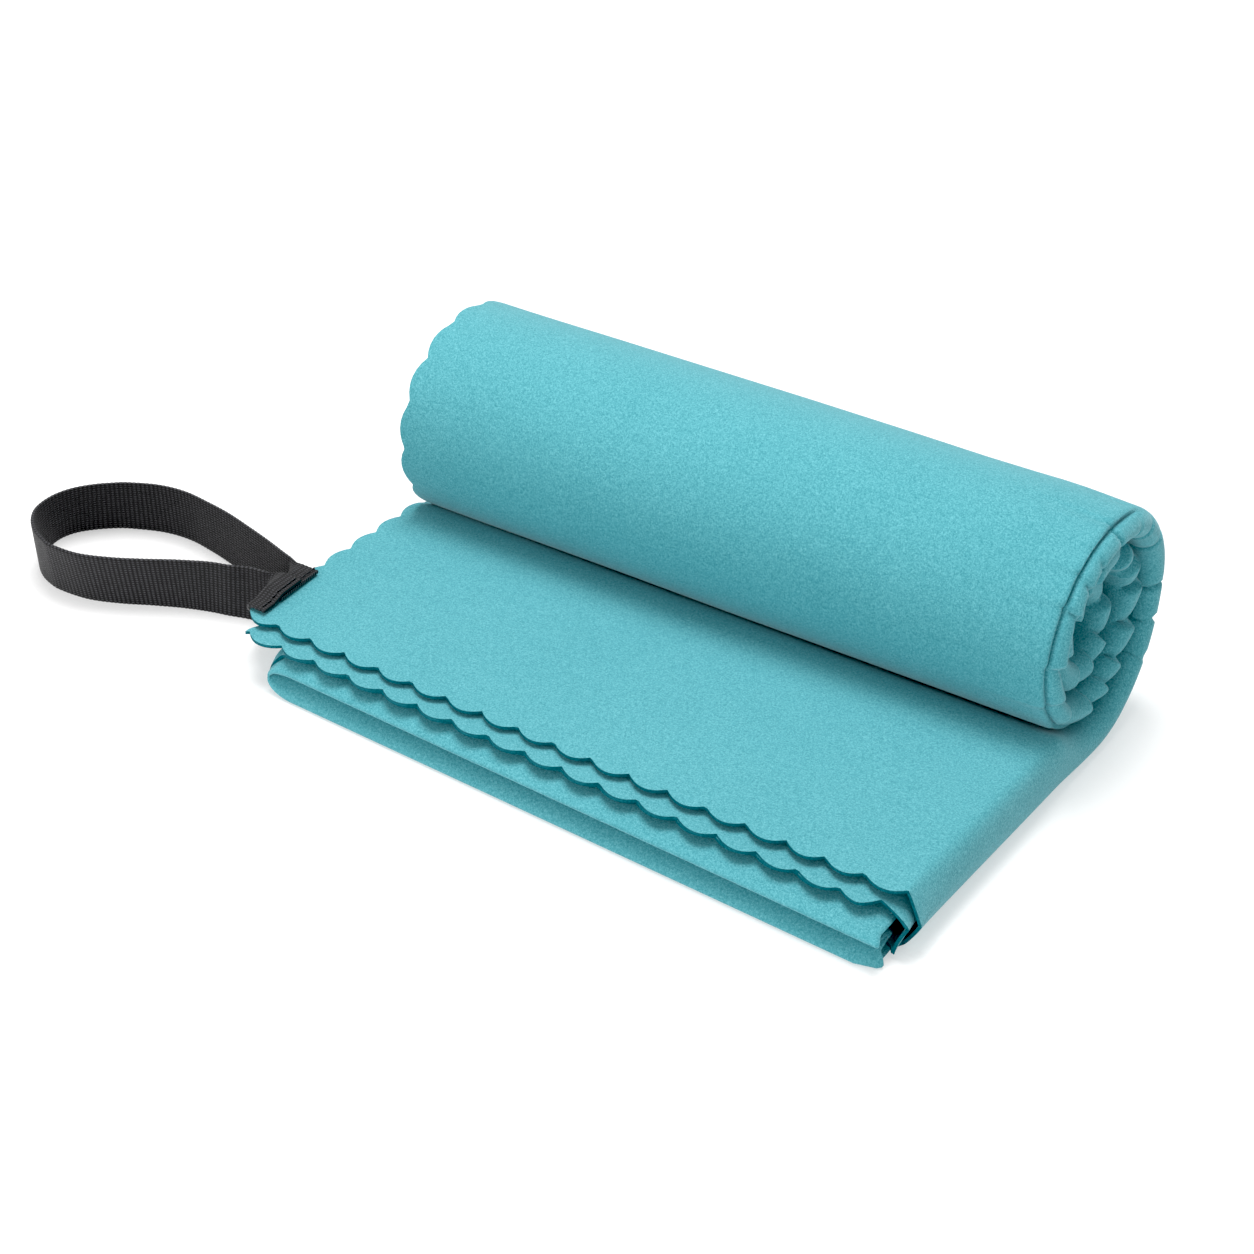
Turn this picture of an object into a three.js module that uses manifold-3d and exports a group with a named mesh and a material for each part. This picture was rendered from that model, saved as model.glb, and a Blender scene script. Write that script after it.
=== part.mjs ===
// A quick dry towel, put away the way it is carried: one sheet of suede microfibre with a
// scalloped cut edge, folded in four, rolled up, and left with a flat tail in front of the roll.
// A webbing hang loop is sewn to the tail's top leaf at its front left corner.
//
// Millimetres, +Z up. +X runs along the roll, towards the folded side; -Y is the tail's front.
// The origin is on the ground, under the middle of the roll's axis.

import * as THREE from 'three';
import { mergeVertices } from 'three/addons/utils/BufferGeometryUtils.js';
import Module from 'manifold-3d';

const wasm = await Module();
wasm.setup();

// ---- Driving dimensions -------------------------------------------------------------------

// The cloth, laid flat, and its scalloped edge.
const clothWidth = 610;
const clothLength = 1220;
const clothThickness = 1.3;
const scallopPitch = 16.7;
const scallopDepth = 2.4;

// The folding and rolling. The bundle is the four layers that the roll is wound from.
const sideFoldUse = 2.5; // width that the turn of the side fold takes from each half
const tailLength = 143; // front edge of the top leaf to the roll's axis
const bundlePitch = 14.5; // one turn of the roll
const coreRadius = 10; // middle of the bundle at its inner end
const restHalf = 5; // the roll is pressed flat this far each side of the line it rests on

// The tail's stack at the front, where it is fluffed up. The roll presses it flat further back.
const topLeafHeight = 24;
const topLeafClear = 3.7; // clear height under the top leaf, and under each of the next two
const secondLeafClear = 1.5;
const thirdLeafClear = 1.5;
const secondLeafReach = 7; // how far each lies in front of the top leaf
const thirdLeafReach = 8.5;
const pleatLipReach = 18;
const pleatFootReach = 14;
const pleatRecess = 6; // the groove between the pleat's lip and its foot
const pleatInset = 14; // the pleat's left end lies inside the leaves' left edge
const topLeafPhase = 16.2; // first cusp along each front edge, from the left edge
const secondLeafPhase = 6;
const thirdLeafPhase = 9;
const sideFoldDepth = 9; // across the roundness of the outer side fold

// The webbing and its seam.
const webbingWidth = 25;
const webbingThickness = 1.4;
const seamFront = 3; // front edge of the near end, from the top leaf's front edge
const endsShift = 15; // the far end lies this much further back than the near end
const sewnLength = 8; // from the cut edge to the line where the webbing bends down
const seamInset = 7.4; // the cut edge, from the top leaf's left edge
const stitchInset = 2.2; // stitch line to cut edge
const stitchLength = 3.2;
const threadDiameter = 0.6;
const needleHole = 1.4;

// Clear space between pieces that touch on the real towel.
const gap = 0.35;

// ---- Worked out from them -------------------------------------------------------------------

const foldedWidth = clothWidth / 2 - sideFoldUse;
const leftEdge = -foldedWidth / 2;
const rightEdge = foldedWidth / 2;
const leafRight = rightEdge - sideFoldDepth;
const secondLeafHeight = topLeafHeight - clothThickness - topLeafClear;
const thirdLeafHeight = secondLeafHeight - clothThickness - secondLeafClear;
const pleatHeight = thirdLeafHeight - clothThickness - thirdLeafClear;
const frontEdge = -tailLength;
const rolledLength = clothLength / 2 - tailLength;
const bundleStart = Math.sqrt(rolledLength * bundlePitch / Math.PI + coreRadius ** 2);
const axisHeight = bundleStart + bundlePitch / 2;
const rollTurns = (bundleStart - coreRadius) / bundlePitch;

const alongX = new THREE.Matrix4().makeBasis(
  new THREE.Vector3(0, 1, 0), new THREE.Vector3(0, 0, 1), new THREE.Vector3(1, 0, 0));
const alongY = new THREE.Matrix4().makeBasis(
  new THREE.Vector3(1, 0, 0), new THREE.Vector3(0, 0, 1), new THREE.Vector3(0, -1, 0));

// ---- Small helpers ----------------------------------------------------------------------------

// A shape drawn in the YZ plane, carried along +X from x0 to x1.
function prismAlongX(shape, x0, x1, curveSegments = 6) {
  const geometry = new THREE.ExtrudeGeometry(shape, { depth: x1 - x0, bevelEnabled: false, curveSegments });
  geometry.applyMatrix4(alongX);
  return geometry.translate(x0, 0, 0);
}

// A shape drawn in the XY plane, carried up from z0 to z1.
function prismUp(shape, z0, z1, curveSegments = 6) {
  const geometry = new THREE.ExtrudeGeometry(shape, { depth: z1 - z0, bevelEnabled: false, curveSegments });
  return geometry.translate(0, 0, z0);
}

function toSolid(geometry) {
  const bare = geometry.clone();
  bare.deleteAttribute('normal');
  bare.deleteAttribute('uv');
  const merged = mergeVertices(bare, 1e-5);
  return new wasm.Manifold(new wasm.Mesh({
    numProp: 3,
    vertProperties: new Float32Array(merged.attributes.position.array),
    triVerts: new Uint32Array(merged.index.array),
  }));
}

function toGeometry(solid) {
  const mesh = solid.getMesh();
  const geometry = new THREE.BufferGeometry();
  geometry.setAttribute('position', new THREE.BufferAttribute(new Float32Array(mesh.vertProperties), 3));
  geometry.setIndex(new THREE.BufferAttribute(new Uint32Array(mesh.triVerts), 1));
  return geometry;
}

function shapeFrom(points) {
  return new THREE.Shape(points.map(([a, b]) => new THREE.Vector2(a, b)));
}

// ---- The roll -----------------------------------------------------------------------------------

// Outer radius of the bundle at an angle turned from straight down, by way of the back and the top.
const outerRadius = (angle) => axisHeight - bundlePitch * angle / (2 * Math.PI);

function onRoll(angle, radius) {
  return [radius * Math.sin(angle), axisHeight - radius * Math.cos(angle)];
}

// The bundle's section: one long band wound from the ground under the axis into the core, with
// a narrow flat where it rests.
function rollShape() {
  const steps = Math.round(rollTurns * 30);
  const angles = Array.from({ length: steps + 1 }, (_, i) => (i / steps) * rollTurns * 2 * Math.PI);
  const outside = angles.slice(1).map((a) => onRoll(a, outerRadius(a)));
  const inside = angles.map((a) => onRoll(a, outerRadius(a) - bundlePitch + gap)).reverse();
  const rest = [[-restHalf, 0], [restHalf, 0]];
  return shapeFrom([...rest, ...outside, ...inside, [-restHalf, bundlePitch - gap]]);
}

// ---- The tail -------------------------------------------------------------------------------------

// Places along the tail and how high the stack is there, as a share of its height at the front:
// level in front, then pressed down along the underside of the roll.
function pressStations() {
  const stations = [];
  const pressSteps = 6;
  const underRoll = (back) => outerRadius(2 * Math.PI - back) + gap;
  const last = restHalf / outerRadius(2 * Math.PI);
  let liftOff = 0;
  for (let i = 0; i < 20; i++) {
    liftOff = Math.acos((axisHeight - topLeafHeight) / underRoll(liftOff));
  }
  for (let i = 0; i <= pressSteps; i++) {
    const back = THREE.MathUtils.lerp(liftOff, last, i / pressSteps);
    const [y, z] = onRoll(2 * Math.PI - back, underRoll(back));
    stations.push({ y: i === pressSteps ? -restHalf - gap : y, share: z / topLeafHeight });
  }
  return stations;
}

const stations = pressStations();

// A leaf's section in the YZ plane: constant thickness, following the pressed stack.
function leafSection(front, height) {
  const top = [[front, height], ...stations.map((s) => [s.y, height * s.share])];
  const under = top.map(([y, z]) => [y, z - clothThickness]).reverse();
  return shapeFrom([...top, ...under]);
}

// A leaf seen from above: scallops along the front and the left edge, cut square elsewhere.
function leafOutline(front, phase) {
  const shape = new THREE.Shape();
  const left = leftEdge + scallopDepth;
  const near = front + scallopDepth;
  const far = scallopPitch;
  const start = Math.ceil((far - near) / scallopPitch) * scallopPitch + near;
  shape.moveTo(left, start);
  for (let y = start; y > near + scallopPitch / 2; y -= scallopPitch) {
    shape.quadraticCurveTo(left - 2 * scallopDepth, y - scallopPitch / 2, left, y - scallopPitch);
  }
  shape.lineTo(leftEdge + phase - scallopPitch / 2, front);
  shape.lineTo(leftEdge + phase, near);
  for (let x = leftEdge + phase; x < rightEdge; x += scallopPitch) {
    shape.quadraticCurveTo(x + scallopPitch / 2, near - 2 * scallopDepth, x + scallopPitch, near);
  }
  shape.lineTo(rightEdge + scallopPitch, start);
  return shape;
}

function leaf(reach, height, phase) {
  const front = frontEdge - reach;
  const plate = toSolid(prismAlongX(leafSection(front, height), leftEdge, leafRight - gap));
  const outline = toSolid(prismUp(leafOutline(front, phase), 0, topLeafHeight + 1, 4));
  return plate.intersect(outline);
}

// The bottom leaf, turned back on itself in a loose pleat: a lip over a groove over a foot.
function pleatSection() {
  const lip = frontEdge - pleatLipReach;
  const foot = frontEdge - pleatFootReach;
  const lipUnder = pleatHeight - 3;
  const footTop = lipUnder - 1.6;
  const shape = new THREE.Shape();
  shape.moveTo(-restHalf - gap, 0);
  shape.lineTo(foot + 2, 0);
  shape.quadraticCurveTo(foot, 0, foot, 2.5);
  shape.lineTo(foot + 0.5, footTop - 1.5);
  shape.quadraticCurveTo(foot + 1, footTop, foot + pleatRecess, footTop);
  shape.lineTo(foot + pleatRecess, lipUnder);
  shape.lineTo(lip + 1, lipUnder);
  shape.quadraticCurveTo(lip - 0.5, (lipUnder + pleatHeight) / 2, lip + 1.5, pleatHeight);
  for (const s of stations) shape.lineTo(s.y, pleatHeight * s.share);
  return shape;
}

// A turn of cloth on the right of the tail, from one leaf round to another: a C in the XZ plane,
// carried back along the tail and pressed down with it.
function sideFold(front, top, bottom, depth) {
  const middle = (top + bottom) / 2;
  const half = (top - bottom) / 2;
  const start = leafRight;
  const shape = new THREE.Shape();
  shape.moveTo(start, top);
  shape.absellipse(start, middle, depth, half, Math.PI / 2, -Math.PI / 2, true);
  shape.lineTo(start, bottom + clothThickness);
  shape.absellipse(start, middle, depth - clothThickness, half - clothThickness, -Math.PI / 2, Math.PI / 2, false);
  const ys = [front, ...stations.map((s) => s.y)];
  const shares = [1, ...stations.map((s) => s.share)];
  const geometry = new THREE.ExtrudeGeometry(shape, {
    depth: ys.length - 1, steps: ys.length - 1, bevelEnabled: false, curveSegments: 8,
  });
  geometry.applyMatrix4(alongY);
  const position = geometry.attributes.position;
  for (let i = 0; i < position.count; i++) {
    const station = Math.round(position.getY(i) + ys.length - 1);
    position.setY(i, ys[station]);
    position.setZ(i, position.getZ(i) * shares[station]);
  }
  return geometry;
}

// ---- The webbing ------------------------------------------------------------------------------------

const creaseX = leftEdge + seamInset - sewnLength;
const cutX = leftEdge + seamInset;
const nearEndY = frontEdge + seamFront + webbingWidth / 2;
const farEndY = nearEndY + endsShift;
const endLevel = topLeafHeight + gap;
const nearOverFar = webbingThickness + gap;

// The near end lies on the top leaf and steps up over the far end: its section across the webbing.
function nearEndSection() {
  const low = endLevel;
  const high = endLevel + nearOverFar;
  const front = nearEndY - webbingWidth / 2;
  const back = nearEndY + webbingWidth / 2;
  const step = farEndY - webbingWidth / 2 - gap;
  return shapeFrom([
    [front, low], [step - 1, low], [step, high], [back, high],
    [back, high + webbingThickness], [step - 1.5, high + webbingThickness],
    [step - 2.5, low + webbingThickness], [front, low + webbingThickness],
  ]);
}

function farEndSection() {
  const front = farEndY - webbingWidth / 2;
  const back = farEndY + webbingWidth / 2;
  return shapeFrom([
    [front, endLevel], [back, endLevel], [back, endLevel + webbingThickness], [front, endLevel + webbingThickness],
  ]);
}

// Middle line of the free loop seen from above, from the near end out and back to the far end.
// Each point is [distance left of the bend line, distance behind the tail's front edge].
const loopRoute = [
  [0, seamFront + webbingWidth / 2], [15, 21], [27, 23.5], [40, 18], [55, 10], [70, 1.5], [86, -5.5], [101, -7],
  [114, -3.5], [124, 5], [129.5, 17], [128, 29], [121, 39.5], [108, 49], [93, 54.5], [76, 56.5], [60, 54.5],
  [44, 50.5], [27, 44.5], [12, 37], [0, seamFront + webbingWidth / 2 + endsShift],
];
const loopTurnIn = 42; // length over which the webbing twists from lying flat to standing on edge
const standing = webbingWidth / 2 + 0.2; // middle of the webbing where it stands on the ground

// The loop as one strip: along the route, its width turns from +Y to +Z near each end.
function loopGeometry() {
  const points = loopRoute.map(([left, behind]) => new THREE.Vector3(creaseX - gap - left, frontEdge + behind, 0));
  const curve = new THREE.CatmullRomCurve3(points, false, 'centripetal');
  const steps = 72;
  const length = curve.getLength();
  const positions = [];
  for (let i = 0; i <= steps; i++) {
    const u = i / steps;
    const middle = curve.getPointAt(u);
    const tangent = curve.getTangentAt(u);
    const fromStart = u * length;
    const fromEnd = (1 - u) * length;
    const turned = THREE.MathUtils.smoothstep(Math.min(fromStart, fromEnd), 0, loopTurnIn);
    const endHeight = (fromStart < fromEnd ? endLevel + nearOverFar : endLevel) + webbingThickness / 2;
    middle.z = THREE.MathUtils.lerp(endHeight, standing, turned);
    const lean = turned * Math.PI / 2;
    const across = new THREE.Vector3(0, Math.cos(lean), Math.sin(lean));
    const face = new THREE.Vector3().crossVectors(tangent, across).normalize();
    for (const [w, t] of [[-1, -1], [1, -1], [1, 1], [-1, 1]]) {
      positions.push(...middle.clone()
        .addScaledVector(across, w * webbingWidth / 2)
        .addScaledVector(face, t * webbingThickness / 2).toArray());
    }
  }
  const index = [0, 2, 1, 0, 3, 2];
  for (let i = 0; i < steps; i++) {
    for (let k = 0; k < 4; k++) {
      const a = 4 * i + k;
      const b = 4 * i + (k + 1) % 4;
      index.push(a, b, b + 4, a, b + 4, a + 4);
    }
  }
  const last = 4 * steps;
  index.push(last, last + 1, last + 2, last, last + 2, last + 3);
  const geometry = new THREE.BufferGeometry();
  geometry.setAttribute('position', new THREE.Float32BufferAttribute(positions, 3));
  geometry.setIndex(index);
  return geometry;
}

// ---- The seam -------------------------------------------------------------------------------------------

const seamX = cutX - stitchInset;
const seamStart = nearEndY - webbingWidth / 2 + 2;
const seamEnd = farEndY + webbingWidth / 2 - 2;
const stitchCount = Math.floor((seamEnd - seamStart) / stitchLength);
const stitchYs = Array.from({ length: stitchCount + 1 }, (_, i) => seamStart + i * stitchLength);

// Top of the sewn webbing along the seam.
function webbingTop(y) {
  const step = farEndY - webbingWidth / 2 - gap;
  const overFar = y > step - 2.6 && y < nearEndY + webbingWidth / 2 + threadDiameter;
  return endLevel + webbingThickness + (overFar ? nearOverFar : 0);
}

function rod(from, to, diameter) {
  const axis = new THREE.Vector3().subVectors(to, from);
  const geometry = new THREE.CylinderGeometry(diameter / 2, diameter / 2, axis.length(), 6);
  geometry.applyQuaternion(new THREE.Quaternion().setFromUnitVectors(
    new THREE.Vector3(0, 1, 0), axis.clone().normalize()));
  return toSolid(geometry.translate(...from.clone().add(to).multiplyScalar(0.5).toArray()));
}

// Each needle hole runs straight down through the webbing and the top leaf.
function drill(solid) {
  const bottom = topLeafHeight - clothThickness - 1;
  const top = endLevel + 2 * nearOverFar + 1;
  return stitchYs.reduce((piece, y) => piece.subtract(
    rod(new THREE.Vector3(seamX, y, bottom), new THREE.Vector3(seamX, y, top), needleHole)), solid);
}

// One thread of the lockstitch: a run over the surface and a leg down (or up) each needle hole.
function thread(surface, meet) {
  const at = (y, z) => new THREE.Vector3(seamX, y, z);
  const overrun = threadDiameter / 2;
  const levels = stitchYs.slice(1).map((y, i) => Math.max(surface(y), surface(stitchYs[i])));
  const pieces = stitchYs.map((y, i) => {
    const top = Math.max(...[levels[i - 1], levels[i]].filter((level) => level !== undefined));
    return rod(at(y, top), at(y, meet), threadDiameter);
  });
  levels.forEach((level, i) => {
    pieces.push(rod(at(stitchYs[i] - overrun, level), at(stitchYs[i + 1] + overrun, level), threadDiameter));
  });
  return pieces.reduce((whole, piece) => whole.add(piece));
}

const lockHeight = topLeafHeight - clothThickness / 2;
const threadRise = gap + threadDiameter / 2;
const needleThread = () => thread((y) => webbingTop(y) + threadRise, lockHeight + gap);
const bobbinThread = () => thread(() => topLeafHeight - clothThickness - threadRise, lockHeight - gap);

// ---- The assembly -------------------------------------------------------------------------------------------

const suede = { color: 0x5fbfc8, roughness: 0.95, metalness: 0 };
const webbing = { color: 0x232327, roughness: 0.7, metalness: 0 };
const spun = { color: 0x18181b, roughness: 0.6, metalness: 0 };

function piece(name, geometry, finish) {
  const mesh = new THREE.Mesh(geometry, new THREE.MeshStandardMaterial(finish));
  mesh.name = name;
  return mesh;
}

const pleatSolid = prismAlongX(pleatSection(), leftEdge + pleatInset, leafRight - gap);
const sewn = (section) => toSolid(prismAlongX(section, creaseX, cutX));

const towel = new THREE.Group();
towel.add(
  piece('towel_roll', prismAlongX(rollShape(), leftEdge, rightEdge), suede),
  piece('tail_top_leaf', toGeometry(drill(leaf(0, topLeafHeight, topLeafPhase))), suede),
  piece('tail_second_leaf', toGeometry(leaf(secondLeafReach, secondLeafHeight, secondLeafPhase)), suede),
  piece('tail_third_leaf', toGeometry(leaf(thirdLeafReach, thirdLeafHeight, thirdLeafPhase)), suede),
  piece('tail_bottom_pleat', pleatSolid, suede),
  piece('tail_outer_side_fold', sideFold(frontEdge, topLeafHeight, 0, sideFoldDepth), suede),
  piece('tail_inner_side_fold', sideFold(
    frontEdge - secondLeafReach, secondLeafHeight, thirdLeafHeight - clothThickness, sideFoldDepth / 3), suede),
  piece('hang_loop', loopGeometry(), webbing),
  piece('hang_loop_near_end', toGeometry(drill(sewn(nearEndSection()))), webbing),
  piece('hang_loop_far_end', toGeometry(drill(sewn(farEndSection()))), webbing),
  piece('seam_needle_thread', toGeometry(needleThread()), spun),
  piece('seam_bobbin_thread', toGeometry(bobbinThread()), spun),
);

export default towel;
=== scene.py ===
"""A quick dry towel, put away the way it is carried.

One sheet of suede microfibre with a scalloped cut edge is folded across, folded lengthwise, and
rolled up from the crosswise fold, with a flat tail left in front. A webbing hang loop is sewn to
the tail's top leaf at its front left corner.

Sizes are in millimetres and angles in radians until a mesh is made. +X runs along the roll towards
the lengthwise fold, -Y towards the front of the tail, and z is the height over the ground.
"""

import math

import bpy
import numpy as np
from mathutils import Matrix, Vector


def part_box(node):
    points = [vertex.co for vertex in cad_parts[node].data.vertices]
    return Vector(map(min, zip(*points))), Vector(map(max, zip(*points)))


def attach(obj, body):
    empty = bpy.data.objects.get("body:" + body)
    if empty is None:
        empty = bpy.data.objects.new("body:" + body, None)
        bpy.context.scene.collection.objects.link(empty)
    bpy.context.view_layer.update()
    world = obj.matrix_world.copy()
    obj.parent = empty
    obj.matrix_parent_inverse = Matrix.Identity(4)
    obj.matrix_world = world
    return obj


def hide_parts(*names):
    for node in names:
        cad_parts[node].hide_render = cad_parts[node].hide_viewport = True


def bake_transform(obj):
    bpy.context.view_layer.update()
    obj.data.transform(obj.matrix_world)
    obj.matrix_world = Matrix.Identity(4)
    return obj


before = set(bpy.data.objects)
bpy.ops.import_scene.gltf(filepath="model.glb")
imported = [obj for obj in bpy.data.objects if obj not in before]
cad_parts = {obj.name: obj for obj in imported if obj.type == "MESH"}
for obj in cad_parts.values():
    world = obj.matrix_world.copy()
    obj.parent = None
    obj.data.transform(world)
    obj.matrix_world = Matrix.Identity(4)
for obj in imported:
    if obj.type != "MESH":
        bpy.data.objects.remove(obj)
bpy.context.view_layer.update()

MM = 0.001


def corners(node):
    """The lowest and highest corner of a node of the frame, in millimetres."""
    low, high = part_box(node)
    return np.array(low) / MM, np.array(high) / MM


# ---- Sizes ---------------------------------------------------------------------------------------

CLOTH = (610.0, 1220.0)  # the sheet, laid flat
THICK = 1.3  # the cloth
SCALLOP = 16.7  # one scallop along the cut edge
RIB = 1.9  # spacing of the webbing's ribs along it
ROLL_LOW, ROLL_HIGH = corners("towel_roll")
LEAF_LOW, LEAF_HIGH = corners("tail_top_leaf")
LEFT = ROLL_LOW[0]
RIGHT = ROLL_HIGH[0]
FRONT = LEAF_LOW[1]  # front edge of the tail's top leaf
TAIL = -FRONT  # length of the tail, from the front edge to the roll's axis
PITCH = 14.5  # one turn of the roll: four layers of cloth and their air
AXIS_Z = (ROLL_HIGH[2] + PITCH / 2) / 2
HALF_LENGTH = CLOTH[1] / 2
TOP_Z = LEAF_HIGH[2] - THICK / 2  # middle of the cloth in the top leaf

# ---- Small helpers -------------------------------------------------------------------------------


def smooth(x):
    """0 below 0, 1 above 1, and 3x^2 - 2x^3 between them."""
    x = np.clip(x, 0.0, 1.0)
    return x * x * (3.0 - 2.0 * x)


def mix(a, b, t):
    """a where t is 0, b where t is 1."""
    return a + (b - a) * t


def hump(x, centre, width):
    """A bell of height 1 at centre: e^-((x - centre) / width)^2."""
    return np.exp(-(((x - centre) / width) ** 2))


def through(points, count=400):
    """A smooth curve through the points (Catmull-Rom: each span is the cubic whose slope at a point
    is half the step between that point's neighbours), as count places evenly spaced along it, and
    its length."""
    p = np.asarray(points, float)
    p = np.vstack([2 * p[0] - p[1], p, 2 * p[-1] - p[-2]])
    u = np.linspace(0, len(p) - 3 - 1e-9, count * 4)
    i = u.astype(int)
    f = (u - i)[:, None]
    a, b, c, d = p[i], p[i + 1], p[i + 2], p[i + 3]
    q = (2 * b + (c - a) * f + (2 * a - 5 * b + 4 * c - d) * f**2 + (3 * b - a - 3 * c + d) * f**3) / 2
    run = np.concatenate([[0], np.cumsum(np.linalg.norm(np.diff(q, axis=0), axis=1))])
    even = np.linspace(0, run[-1], count)
    return np.column_stack([np.interp(even, run, q[:, k]) for k in range(p.shape[1])]), run[-1]


def along(curve, share):
    """Places on a curve from through() at shares of its length, 0 to 1."""
    at = np.clip(share, 0, 1) * (len(curve) - 1)
    return [np.interp(at, np.arange(len(curve)), curve[:, k]) for k in range(curve.shape[1])]


def waves(x, y, seed):
    """A smooth uneven field between about -1 and 1: the sum of six plane waves whose directions,
    lengths (1 to 2.6 units) and phases come from the seed."""
    draw = np.random.RandomState(seed)
    total = np.zeros(np.broadcast(x, y).shape)
    for _ in range(6):
        turn, length, phase = draw.uniform(0, math.pi), draw.uniform(1, 2.6), draw.uniform(0, 6.3)
        total += np.sin(2 * math.pi * (x * math.cos(turn) + y * math.sin(turn)) / length + phase)
    return total / 3.0


def new_mesh(name, vertices, faces, materials, face_material=None, sharp=None, uv=None):
    """A mesh object in the part's frame from places in millimetres. sharp is the angle past which an
    edge isn't shaded smooth, and uv one pair for each vertex."""
    mesh = bpy.data.meshes.new(name)
    mesh.from_pydata((np.asarray(vertices) * MM).tolist(), [], faces)
    for material in materials:
        mesh.materials.append(material)
    if face_material is not None:
        mesh.polygons.foreach_set("material_index", np.asarray(face_material, np.int32))
    mesh.polygons.foreach_set("use_smooth", np.ones(len(mesh.polygons), bool))
    if uv is not None:
        corner = np.zeros(len(mesh.loops), np.int32)
        mesh.loops.foreach_get("vertex_index", corner)
        lay_uv = np.asarray(uv)[corner].astype(np.float32).ravel()
        mesh.uv_layers.new(name="lay").data.foreach_set("uv", lay_uv)
    if sharp is not None:
        mesh.set_sharp_from_angle(angle=sharp)
    mesh.update()
    made = bpy.data.objects.new(name, mesh)
    bpy.context.scene.collection.objects.link(made)
    return made


def grid_faces(rows, columns, start=0, closed=False):
    """Quads of a grid whose vertices run along each row, one row after another."""
    across = np.arange(columns if closed else columns - 1)
    i, j = np.meshgrid(np.arange(rows - 1), across, indexing="ij")
    k = (j + 1) % columns
    quads = np.stack([i * columns + j, i * columns + k, (i + 1) * columns + k, (i + 1) * columns + j], -1)
    return (quads.reshape(-1, 4) + start).tolist()


# ---- Materials -----------------------------------------------------------------------------------


def linear(code):
    """An sRGB hex colour as linear red, green, blue and 1."""
    parts = [int(code[i : i + 2], 16) / 255 for i in (1, 3, 5)]
    return tuple(c / 12.92 if c <= 0.04045 else ((c + 0.055) / 1.055) ** 2.4 for c in parts) + (1.0,)


def node(tree, kind, links=None, **settings):
    """Adds a node. A setting named in_X sets its input X (underscores are spaces, a digit is an index),
    any other its property; links give the output that each input takes."""
    made = tree.nodes.new(kind)
    for name, value in settings.items():
        if name.startswith("in_"):
            key = name[3:]
            made.inputs[int(key) if key.isdigit() else key.replace("_", " ")].default_value = value
        else:
            setattr(made, name, value)
    for key, output in (links or {}).items():
        tree.links.new(output, made.inputs[key])
    return made


def ramp(tree, factor, stops):
    """A colour ramp from (position, colour) pairs."""
    made = node(tree, "ShaderNodeValToRGB", {"Fac": factor})
    elements = made.color_ramp.elements
    while len(elements) < len(stops):
        elements.new(0.5)
    for element, (position, colour) in zip(elements, stops):
        element.position = position
        element.color = colour
    return made.outputs["Color"]


def blank(name):
    """A material with only a Principled shader and its output, and its node tree."""
    material = bpy.data.materials.new(name)
    material.use_nodes = True
    tree = material.node_tree
    tree.nodes.clear()
    shader = node(tree, "ShaderNodeBsdfPrincipled")
    node(tree, "ShaderNodeOutputMaterial", {"Surface": shader.outputs["BSDF"]})
    return material, tree, shader


def suede_microfibre():
    """Suede microfibre: polyester split-fibre cloth, sanded to a short nap. It is matt, with a fine
    mottle where the nap lies this way and that, soft clouds where a hand has brushed it, and a pale
    bloom at grazing angles."""
    grain, nap, cloud = 0.55, 0.75, 46.0  # nap tufts, their clusters, and brushed patches
    material, tree, shader = blank("suede_microfibre")
    place = node(tree, "ShaderNodeTexCoord").outputs["Object"]
    fine = node(tree, "ShaderNodeTexNoise", {"Vector": place}, in_Scale=1 / (grain * MM), in_Detail=2.0,
                in_Roughness=0.6, in_Distortion=0.6)
    tufts = node(tree, "ShaderNodeTexNoise", {"Vector": place}, in_Scale=1 / (nap * MM), in_Detail=3.0,
                 in_Roughness=0.6, in_Distortion=0.8)
    patches = node(tree, "ShaderNodeTexNoise", {"Vector": place}, in_Scale=1 / (cloud * MM), in_Detail=2.0,
                   in_Roughness=0.5)
    both = node(tree, "ShaderNodeMath", {0: fine.outputs["Fac"], 1: tufts.outputs["Fac"]},
                operation="ADD")
    mottle = node(tree, "ShaderNodeMath", {0: both.outputs[0]}, operation="MULTIPLY", in_1=0.5)
    napped = ramp(tree, mottle.outputs[0], [
        (0.38, linear("#38818b")), (0.5, linear("#5199a3")), (0.62, linear("#6bb0b9"))])
    brushed = ramp(tree, patches.outputs["Fac"], [(0.3, linear("#559fa8")), (0.7, linear("#66aeb6"))])
    brushing = 0.15  # share of the colour that the brushed patches have
    colour = node(tree, "ShaderNodeMix", {6: napped, 7: brushed}, data_type="RGBA", in_0=brushing)
    tree.links.new(colour.outputs[2], shader.inputs["Base Color"])
    bump = node(tree, "ShaderNodeBump", {"Height": mottle.outputs[0]}, in_Strength=0.75,
                in_Distance=0.4 * MM)
    tree.links.new(bump.outputs["Normal"], shader.inputs["Normal"])
    shader.inputs["Roughness"].default_value = 0.95
    shader.inputs["Specular IOR Level"].default_value = 0.15
    shader.inputs["Sheen Weight"].default_value = 0.34
    shader.inputs["Sheen Roughness"].default_value = 0.45
    shader.inputs["Sheen Tint"].default_value = linear("#d8e6e8")
    return material


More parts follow.
